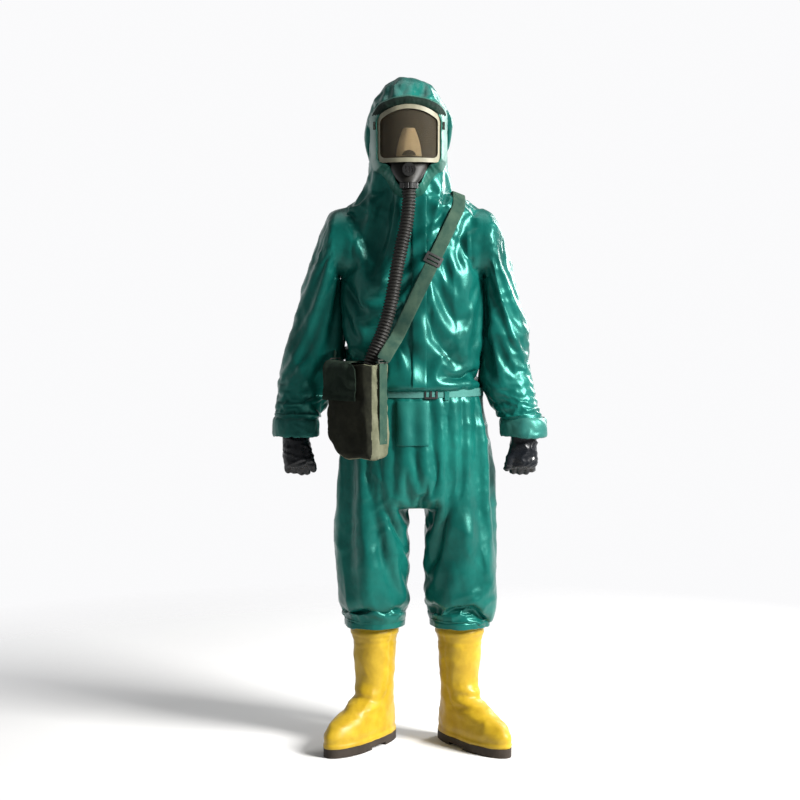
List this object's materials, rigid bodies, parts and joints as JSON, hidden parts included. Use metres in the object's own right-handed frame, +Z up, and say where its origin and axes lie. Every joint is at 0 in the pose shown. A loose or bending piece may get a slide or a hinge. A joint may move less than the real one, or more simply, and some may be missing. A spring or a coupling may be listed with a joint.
{
  "type": "chemical protective suit",
  "caption": "Hooded one-piece chemical suit in worn shape with full-face mask, breathing hose, hip satchel, rubber gloves and rubber boots.",
  "frame": {"origin": "middle of the bounding box, on the ground under the soles", "axes": "+Z up, the suit faces -Y, +X is the wearer's left"},
  "size_m": [0.7259, 0.391, 1.774],
  "materials": {
    "suit_fabric": "glossy rubber-coated fabric",
    "suit_hood": "rubber-coated fabric, softer",
    "suit_trim": "welded tape and belt webbing",
    "black_rubber": "moulded rubber, satin",
    "glove_rubber": "dipped rubber, glossy",
    "frame_plastic": "moulded cream plastic",
    "visor_amber": "clear amber lens",
    "nose_rubber": "soft pale rubber",
    "dark_plastic": "moulded black plastic",
    "boot_rubber": "yellow moulded rubber",
    "sole_rubber": "dark moulded sole",
    "insole_felt": "felt",
    "canvas_dark": "waxed canvas",
    "webbing": "woven webbing",
    "small_metal": "plated steel",
    "canister_paint": "painted drum"
  },
  "bodies": {
    "suit": {"suit_torso": "suit_fabric", "trouser_seat": "suit_fabric", "hood_shell": "suit_hood", "hood_face_seal": "black_rubber", "entry_flap": "suit_fabric", "front_patch": "suit_fabric", "waist_belt": "suit_trim", "belt_loops": "suit_trim", "belt_buckle": "dark_plastic", "mask_facepiece": "black_rubber", "mask_visor": "visor_amber", "visor_frame_upper": "frame_plastic", "visor_frame_lower": "frame_plastic", "frame_screws": "small_metal", "nose_cup": "nose_rubber", "inhalation_discs": "dark_plastic", "valve_seat": "dark_plastic", "valve_cover": "dark_plastic", "head_harness": "black_rubber", "hose_nut_upper": "dark_plastic", "breathing_hose": "black_rubber", "shoulder_strap": "webbing", "strap_slide": "small_metal"},
    "upper_arm_right": {"upper_sleeve_right": "suit_fabric", "elbow_bend_right": "suit_fabric"},
    "forearm_right": {"forearm_sleeve_right": "suit_fabric", "sleeve_cuff_right": "suit_fabric", "glove_right": "glove_rubber", "glove_ring_right": "dark_plastic"},
    "upper_leg_right": {"thigh_right": "suit_fabric", "knee_bend_right": "suit_fabric"},
    "lower_leg_right": {"shin_right": "suit_fabric", "trouser_hem_right": "suit_fabric", "boot_upper_right": "boot_rubber", "boot_sole_right": "sole_rubber", "boot_insole_right": "insole_felt"},
    "upper_arm_left": {"upper_sleeve_left": "suit_fabric", "elbow_bend_left": "suit_fabric"},
    "forearm_left": {"forearm_sleeve_left": "suit_fabric", "sleeve_cuff_left": "suit_fabric", "glove_left": "glove_rubber", "glove_ring_left": "dark_plastic"},
    "upper_leg_left": {"thigh_left": "suit_fabric", "knee_bend_left": "suit_fabric"},
    "lower_leg_left": {"shin_left": "suit_fabric", "trouser_hem_left": "suit_fabric", "boot_upper_left": "boot_rubber", "boot_sole_left": "sole_rubber", "boot_insole_left": "insole_felt"},
    "satchel": {"satchel_shell": "canvas_dark", "satchel_hangers": "webbing", "satchel_rings": "small_metal", "filter_canister": "canister_paint", "hose_nut_lower": "dark_plastic"},
    "flap": {"satchel_flap": "canvas_dark", "flap_buckle": "small_metal"},
    "exhale_disc": {"valve_disc": "nose_rubber"}
  },
  "joints": [
    {"name": "shoulder_right", "type": "hinge", "parent": "suit", "child": "upper_arm_right", "pos_m": [-0.183, 0.04642, 1.342], "axis": [-1, 0, 0], "range_deg": [-20, 60]},
    {"name": "elbow_right", "type": "hinge", "parent": "upper_arm_right", "child": "forearm_right", "pos_m": [-0.265, 0.04642, 1.07], "axis": [-1, 0, 0], "range_deg": [0, 70], "deforming": ["elbow_bend_right"]},
    {"name": "hip_right", "type": "hinge", "parent": "suit", "child": "upper_leg_right", "pos_m": [-0.094, 0.04642, 0.88], "axis": [-1, 0, 0], "range_deg": [-10, 15], "deforming": ["trouser_seat"]},
    {"name": "knee_right", "type": "hinge", "parent": "upper_leg_right", "child": "lower_leg_right", "pos_m": [-0.094, 0.06642, 0.47], "axis": [1, 0, 0], "range_deg": [0, 60], "deforming": ["knee_bend_right"]},
    {"name": "shoulder_left", "type": "hinge", "parent": "suit", "child": "upper_arm_left", "pos_m": [0.193, 0.04642, 1.342], "axis": [-1, 0, 0], "range_deg": [-20, 60]},
    {"name": "elbow_left", "type": "hinge", "parent": "upper_arm_left", "child": "forearm_left", "pos_m": [0.275, 0.04642, 1.07], "axis": [-1, 0, 0], "range_deg": [0, 70], "deforming": ["elbow_bend_left"]},
    {"name": "hip_left", "type": "hinge", "parent": "suit", "child": "upper_leg_left", "pos_m": [0.132, 0.04642, 0.88], "axis": [-1, 0, 0], "range_deg": [-10, 15], "deforming": ["trouser_seat"]},
    {"name": "knee_left", "type": "hinge", "parent": "upper_leg_left", "child": "lower_leg_left", "pos_m": [0.132, 0.06642, 0.47], "axis": [1, 0, 0], "range_deg": [0, 60], "deforming": ["knee_bend_left"]},
    {"name": "satchel_swing", "type": "hinge", "parent": "suit", "child": "satchel", "pos_m": [-0.13185, -0.1117, 1.044], "axis": [-0.788, 0.6157, 0], "range_deg": [0, 18], "deforming": ["breathing_hose"]},
    {"name": "flap_open", "type": "hinge", "parent": "satchel", "child": "flap", "pos_m": [-0.11338, -0.08806, 1.0337], "axis": [-0.788, 0.6157, 0], "range_deg": [0, 90]},
    {"name": "valve_lift", "type": "slide", "parent": "suit", "child": "exhale_disc", "axis": [0, -1, 0], "range_m": [0, 0.0015], "stiffness_N_per_m": 40}
  ]
}
